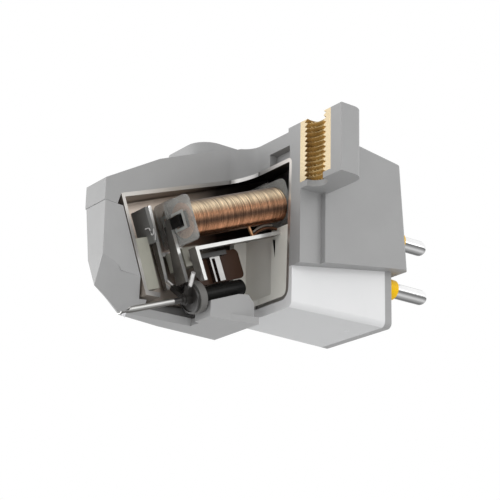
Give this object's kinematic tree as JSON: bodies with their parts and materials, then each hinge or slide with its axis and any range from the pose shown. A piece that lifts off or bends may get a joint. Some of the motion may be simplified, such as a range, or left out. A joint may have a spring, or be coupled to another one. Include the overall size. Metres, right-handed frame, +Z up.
{
  "type": "turntable stylus cartridge",
  "caption": "Moving magnet pick-up cartridge with its near front quarter cut away, showing coils, poles, magnets and a stylus on a sprung cantilever.",
  "frame": {"origin": "midway between the two threaded inserts, on the plane of the mounting pads", "axes": "+Z up to the headshell, +Y along the terminal pins, +X to the side that is cut away"},
  "size_m": [0.0188, 0.0285, 0.0172],
  "materials": {
    "shell": "satin grey",
    "lower": "smooth pale grey",
    "plate": "satin grey",
    "stylus_housing": "satin grey",
    "brass": "turned",
    "nickel": "bright plate",
    "amber": "clear yellow",
    "can": "folded sheet",
    "bobbin": "smoky, half clear",
    "copper": "fine enamelled wire",
    "pole": "bright sheet edge",
    "carrier": "moulded resin",
    "charcoal": "moulded resin",
    "brown": "thin sheet",
    "clip": "folded sheet",
    "black": "moulded",
    "sleeve": "turned",
    "damper": "soft rubber",
    "wire": "drawn",
    "magnet": "ground",
    "tube": "drawn",
    "diamond": "ground point"
  },
  "bodies": {
    "cartridge": {"body_shell": "shell", "insert_left": "brass", "insert_right": "brass", "lower_housing": "lower", "terminal_plate": "plate", "shield_can": "can", "bobbin_left": "bobbin", "bobbin_right": "bobbin", "winding_left": "copper", "winding_right": "copper", "inner_pole_left": "pole", "inner_pole_right": "pole", "outer_pole_left": "pole", "outer_pole_right": "pole", "front_carrier": "carrier", "front_block": "charcoal", "rear_carrier": "carrier", "centre_carrier": "carrier", "separator": "brown", "separator_clip": "clip", "separator_stop": "black", "pin_upper_left": "nickel", "collar_upper_left": "amber", "pin_upper_right": "nickel", "collar_upper_right": "amber", "pin_lower_left": "nickel", "collar_lower_left": "amber", "pin_lower_right": "nickel", "collar_lower_right": "amber"},
    "stylus_unit": {"stylus_housing": "stylus_housing", "pivot_sleeve": "sleeve"},
    "suspension": {"suspension_wire": "wire", "damper_ring": "damper"},
    "stylus": {"magnet_holder": "black", "magnet_left": "magnet", "magnet_right": "magnet", "cantilever": "tube", "stylus_tip": "diamond"}
  },
  "joints": [
    {"name": "unit_pull", "type": "slide", "parent": "cartridge", "child": "stylus_unit", "axis": [0, -0.2588, -0.9659], "range_m": [0, 0.01]},
    {"name": "stylus_lift", "type": "hinge", "parent": "stylus_unit", "child": "suspension", "pos_m": [0, -0.00615, -0.01441], "axis": [1, 0, 0], "range_deg": [-2.5, 2.5], "stiffness_Nm_per_rad": 0.0012},
    {"name": "stylus_swing", "type": "hinge", "parent": "suspension", "child": "stylus", "pos_m": [0, -0.00615, -0.01441], "axis": [0, -0.3665, 0.9304], "range_deg": [-2.5, 2.5], "stiffness_Nm_per_rad": 0.0012}
  ]
}
